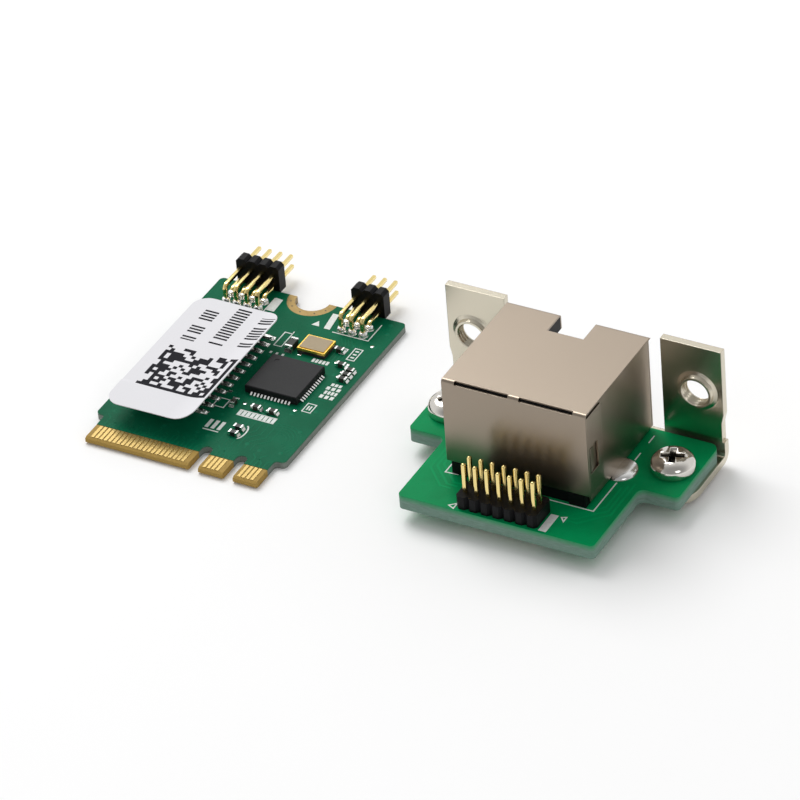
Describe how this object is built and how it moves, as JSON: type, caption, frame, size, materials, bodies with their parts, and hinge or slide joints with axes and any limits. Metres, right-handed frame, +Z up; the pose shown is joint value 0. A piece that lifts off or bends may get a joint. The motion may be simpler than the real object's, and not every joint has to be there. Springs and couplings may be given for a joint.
{
  "type": "ethernet adapter card",
  "caption": "Ethernet adapter in two halves: a keyed edge card with the controller, and a jack board with a shielded network port and a panel bracket.",
  "frame": {"origin": "on the surface that both halves stand on, under the middle of the whole part's box", "axes": "+X from the edge card to the jack board, across both; +Y from the gold fingers to the pin headers, and from the jack's rear to its port; +Z up from the boards"},
  "size_m": [0.0624, 0.034, 0.0143],
  "materials": {
    "card_laminate": "deep green solder mask over glass laminate",
    "jack_laminate": "green solder mask over glass laminate",
    "gold_plate": "thin gold plating",
    "header_pin": "pale gold flash on square wire",
    "contact_wire": "gold-plated spring wire",
    "lead_tin": "matt tin plating",
    "solder": "bright solder",
    "black_moulding": "black glass-filled moulding",
    "chip_moulding": "fine matt mould compound",
    "label_paper": "white printed paper",
    "crystal_ceramic": "dark ceramic",
    "crystal_metal": "satin nickel alloy",
    "capacitor_ceramic": "brown ceramic",
    "resistor_ceramic": "black glaze on ceramic",
    "shield_sheet": "satin tinned sheet",
    "bracket_sheet": "nickel-plated steel sheet",
    "screw_steel": "bright nickel-plated steel"
  },
  "bodies": {
    "root": {"card_circuit_board": "card_laminate", "edge_contacts": "gold_plate", "mounting_ring": "gold_plate", "transformer_body": "black_moulding", "transformer_leads": "lead_tin", "id_label": "label_paper", "controller_body": "chip_moulding", "controller_leads": "lead_tin", "crystal_base": "crystal_ceramic", "crystal_seal_ring": "gold_plate", "crystal_lid": "crystal_metal", "chip_capacitors": "capacitor_ceramic", "chip_resistors": "resistor_ceramic", "chip_end_caps": "solder", "left_header_insulator": "black_moulding", "left_header_pins": "header_pin", "left_header_solder": "solder", "right_header_insulator": "black_moulding", "right_header_pins": "header_pin", "right_header_solder": "solder", "jack_circuit_board": "jack_laminate", "jack_housing": "black_moulding", "jack_contacts": "contact_wire", "jack_shield": "shield_sheet", "shield_leg_solder": "solder", "jack_pin_solder": "solder", "pin_header_insulator": "black_moulding", "pin_header_pins": "header_pin", "pin_header_solder": "solder", "bracket": "bracket_sheet", "bracket_screws": "screw_steel"}
  },
  "joints": []
}
